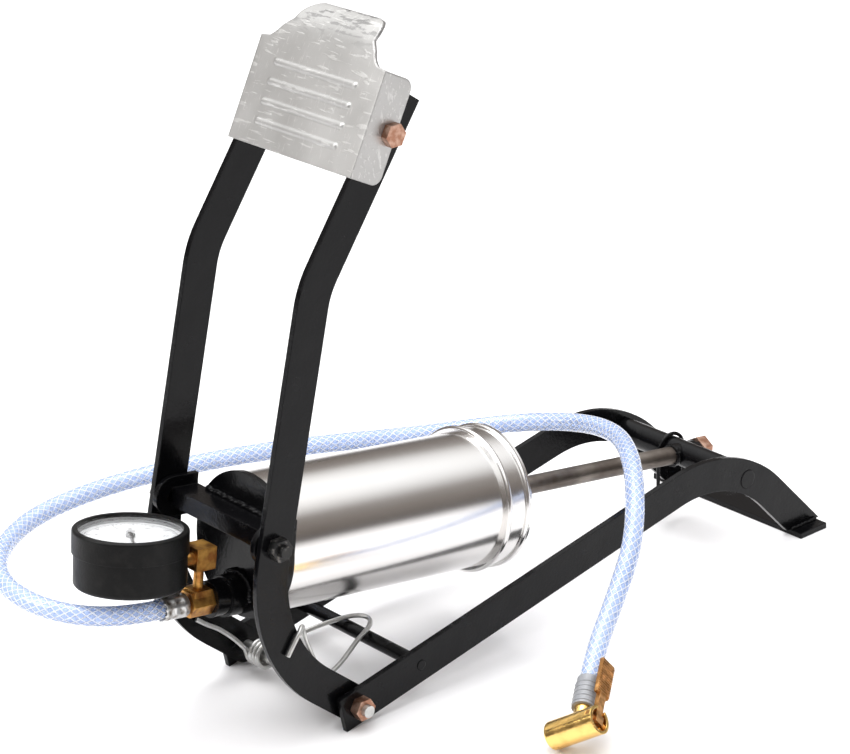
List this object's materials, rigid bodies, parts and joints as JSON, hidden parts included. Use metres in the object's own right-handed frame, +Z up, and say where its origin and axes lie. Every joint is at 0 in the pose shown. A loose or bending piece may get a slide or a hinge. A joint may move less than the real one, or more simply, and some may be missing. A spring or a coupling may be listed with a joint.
{
  "type": "foot pump",
  "caption": "Foot-operated air pump: folding pedal lever on a steel base drives a chrome barrel along a rod, with a dial gauge and a braided hose ending in a valve chuck.",
  "frame": {"origin": "middle of the foot plate's underside, on the floor", "axes": "+Z up; X along the pump, from the lever pivot to the foot plate at the +X end; Y across, along the pivot axes"},
  "size_m": [0.4495, 0.2667, 0.329],
  "materials": {
    "painted": "gloss black paint over steel",
    "chrome": "polished chrome plate",
    "zinc": "zinc-plated steel wire",
    "pedal_sheet": "dull galvanised sheet with fine scratches",
    "aged_zinc": "coppery passivated fasteners",
    "black_fastener": "painted over with the arms",
    "rod_steel": "bare grey steel, oiled",
    "old_brass": "aged orange brass",
    "bright_brass": "bright turned brass",
    "gauge_black": "black moulded case",
    "dial_white": "white printed dial",
    "needle": "black pointer",
    "clear_glass": "clear window",
    "hose_pvc": "clear blue PVC with white braid",
    "ferrule": "crimped sleeve",
    "seal_rubber": "black rubber",
    "piston_metal": "turned disc"
  },
  "bodies": {
    "base": {"base_bar_near": "painted", "base_bar_far": "painted", "foot_plate": "painted", "tie_bar": "painted", "pivot_spindle": "zinc", "pivot_nut": "aged_zinc", "pivot_spacers": "painted"},
    "rod": {"cross_tube": "painted", "piston_rod": "rod_steel", "rod_collar": "painted", "rod_washer": "painted", "rod_nut": "aged_zinc", "piston": "piston_metal", "piston_cup": "seal_rubber", "piston_nut": "aged_zinc"},
    "barrel": {"barrel_tube": "chrome", "end_ring": "chrome", "rod_bush": "old_brass", "head_plate": "painted", "head_gasket": "seal_rubber", "pivot_bracket": "painted", "outlet_boss": "painted", "check_ball": "zinc", "check_spring": "zinc", "outlet_tee": "old_brass", "gauge_stem": "old_brass", "gauge_elbow": "old_brass", "gauge_case": "gauge_black", "gauge_bezel": "gauge_black", "gauge_dial": "dial_white", "gauge_glass": "clear_glass", "hose_barb": "old_brass", "hose_ferrule": "ferrule", "hose": "hose_pvc", "chuck_ferrule": "ferrule", "chuck_body": "bright_brass", "chuck_seal": "seal_rubber", "chuck_pin": "ferrule"},
    "gauge_needle": {"gauge_pointer": "needle"},
    "chuck_thumb_lever": {"chuck_lever": "bright_brass"},
    "lever": {"arm_near": "painted", "arm_far": "painted", "lever_bolts": "black_fastener", "lever_nuts": "black_fastener", "pedal_bolts": "aged_zinc", "pedal_nuts": "aged_zinc", "return_spring": "zinc"},
    "pedal": {"pedal": "pedal_sheet"},
    "lock_link": {"lock_link": "painted"}
  },
  "joints": [
    {"name": "lever_hinge", "type": "hinge", "parent": "base", "child": "lever", "pos_m": [-0.309, 0, 0.01072], "axis": [0, 1, 0], "range_deg": [0, 68], "stiffness_Nm_per_rad": 2, "springref_deg": -57.3, "deforming": ["return_spring"]},
    {"name": "rod_swing", "type": "hinge", "parent": "base", "child": "rod", "pos_m": [-0.0435, 0, 0.0433], "axis": [0, 1, 0], "range_deg": [0, 2.4]},
    {"name": "barrel_slide", "type": "slide", "parent": "rod", "child": "barrel", "axis": [0.9882, 0, -0.153], "range_m": [0, 0.1161], "deforming": ["hose"]},
    {"name": "pedal_tilt", "type": "hinge", "parent": "lever", "child": "pedal", "pos_m": [-0.2744, 0, 0.2844], "axis": [0, 1, 0], "range_deg": [0, 15]},
    {"name": "link_swing", "type": "hinge", "parent": "base", "child": "lock_link", "pos_m": [-0.0435, 0.009, 0.0433], "axis": [0, 1, 0], "range_deg": [-60, 30]},
    {"name": "needle_turn", "type": "hinge", "parent": "barrel", "child": "gauge_needle", "pos_m": [-0.39186, 0.01041, 0.10744], "axis": [-0.1525, -0.0767, -0.9853], "range_deg": [0, 270], "stiffness_Nm_per_rad": 0.0005},
    {"name": "chuck_lever_turn", "type": "hinge", "parent": "barrel", "child": "chuck_thumb_lever", "pos_m": [-0.24911, -0.14565, 0.01922], "axis": [0.5638, -0.2546, -0.7857], "range_deg": [0, 75]}
  ],
  "couplings": [
    {"joint": "rod_swing", "follows": "lever_hinge", "ratio": 0.028},
    {"joint": "barrel_slide", "follows": "lever_hinge", "m_per_rad": 0.09695}
  ]
}
